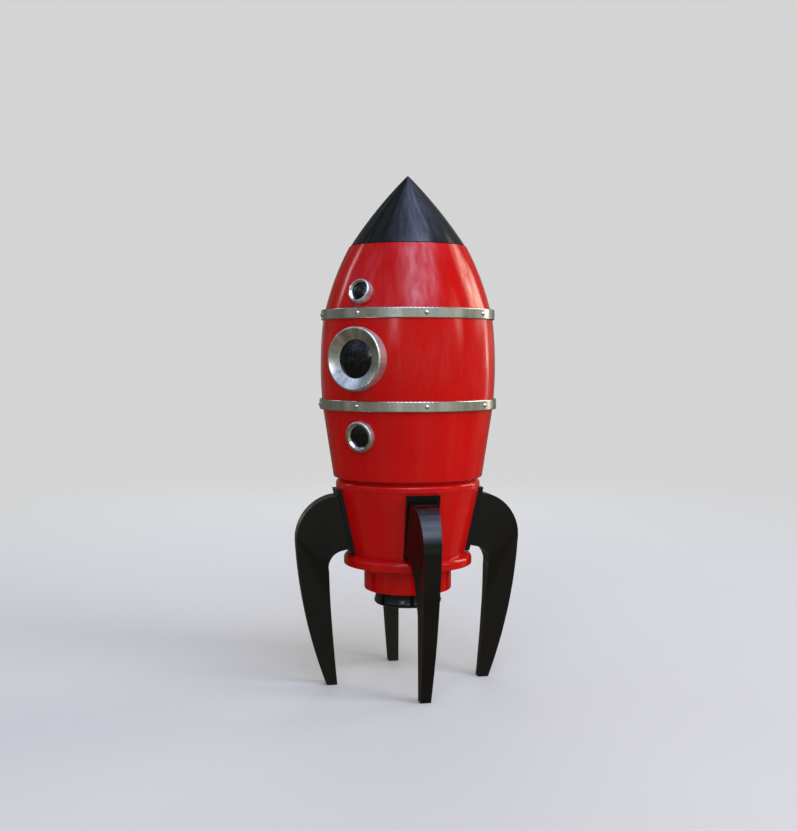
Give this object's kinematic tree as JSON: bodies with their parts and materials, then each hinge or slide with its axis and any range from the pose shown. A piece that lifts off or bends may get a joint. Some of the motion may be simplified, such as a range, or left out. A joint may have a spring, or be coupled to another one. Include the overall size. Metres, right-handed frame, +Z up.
{
  "type": "tin space rocket",
  "caption": "Free-standing tin toy rocket on curved legs, with riveted bands, domed portholes and a clockwork sparking wheel wound by its nozzle.",
  "frame": {"origin": "on the floor plane under the rocket's axis, at the height of the leg soles", "axes": "+Z up along the rocket's axis towards the nose; the portholes face -Y; the legs stand on the diagonals"},
  "size_m": [0.1068, 0.1092, 0.3],
  "materials": {
    "black_enamel": "gloss baked enamel",
    "black_satin_enamel": "satin baked enamel",
    "red_enamel": "gloss baked enamel",
    "polished_aluminium": "polished, with fine turning lines",
    "rivet_metal": "polished domed heads",
    "dark_glass": "near-black smoked glass",
    "plated_steel": "bright zinc plating",
    "brass": "rolled and stamped",
    "tool_steel": "turned and hardened",
    "spring_steel": "blued",
    "abrasive": "bonded grit",
    "flint": "ferrocerium rod"
  },
  "bodies": {
    "shell": {"leg_front_left": "black_enamel", "leg_front_right": "black_enamel", "leg_rear_left": "black_enamel", "leg_rear_right": "black_enamel", "leg_pad_front_left": "black_satin_enamel", "leg_pad_front_right": "black_satin_enamel", "leg_pad_rear_left": "black_satin_enamel", "leg_pad_rear_right": "black_satin_enamel", "hull_upper": "red_enamel", "hull_middle": "red_enamel", "hull_lower": "red_enamel", "waist_ring": "red_enamel", "skirt": "red_enamel", "exhaust_collar": "red_enamel", "upper_band": "polished_aluminium", "lower_band": "polished_aluminium", "upper_porthole_bezel": "polished_aluminium", "large_porthole_bezel": "polished_aluminium", "lower_porthole_bezel": "polished_aluminium", "upper_band_rivets": "rivet_metal", "lower_band_rivets": "rivet_metal", "hem_rivets": "rivet_metal", "upper_porthole_lens": "dark_glass", "large_porthole_lens": "dark_glass", "lower_porthole_lens": "dark_glass", "upper_porthole_nut": "plated_steel", "large_porthole_nut": "plated_steel", "lower_porthole_nut": "plated_steel", "leg_screws": "plated_steel", "base_screws": "plated_steel", "bracket_screws": "plated_steel", "plate_pillars": "plated_steel", "spark_bracket": "plated_steel", "arbor_bush": "brass", "lower_plate": "brass", "upper_plate": "brass", "flint_tube": "brass", "mainspring": "spring_steel", "flint_spring": "spring_steel"},
    "winder": {"exhaust_nozzle": "black_enamel", "nozzle_screw": "plated_steel", "winding_arbor": "tool_steel", "ratchet_wheel": "tool_steel", "great_wheel": "brass", "click_stud": "plated_steel", "click_spring": "spring_steel"},
    "click": {"click": "tool_steel"},
    "second_train": {"second_arbor": "tool_steel", "second_wheel": "brass"},
    "spark_train": {"spark_shaft": "tool_steel", "spark_wheel": "abrasive"},
    "flint": {"flint": "flint"},
    "nose": {"nose_cone": "black_enamel"}
  },
  "joints": [
    {"name": "winding", "type": "hinge", "parent": "shell", "child": "winder", "pos_m": [0, 0, 0.06], "axis": [0, 0, 1], "continuous": true, "deforming": ["mainspring"]},
    {"name": "click_lift", "type": "hinge", "parent": "winder", "child": "click", "pos_m": [-0.00953, 0.0055, 0.0858], "axis": [0, 0, -1], "range_deg": [0, 12], "stiffness_Nm_per_rad": 0.0004, "springref_deg": -17.19, "deforming": ["click_spring"]},
    {"name": "second_arbor_turn", "type": "hinge", "parent": "shell", "child": "second_train", "pos_m": [0.00917, -0.01549, 0.083], "axis": [0, 0, 1], "continuous": true},
    {"name": "spark_wheel_turn", "type": "hinge", "parent": "shell", "child": "spark_train", "pos_m": [0, -0.024, 0.083], "axis": [0, 0, 1], "continuous": true},
    {"name": "flint_feed", "type": "slide", "parent": "shell", "child": "flint", "axis": [0, 1, 0], "range_m": [0, 0.0015], "stiffness_N_per_m": 150, "springref_m": -0.003, "deforming": ["flint_spring"]},
    {"name": "nose_lift", "type": "slide", "parent": "shell", "child": "nose", "axis": [0, 0, 1], "range_m": [0, 0.03]}
  ],
  "couplings": [
    {"joint": "second_arbor_turn", "follows": "winding", "ratio": -5},
    {"joint": "spark_wheel_turn", "follows": "winding", "ratio": 20}
  ]
}
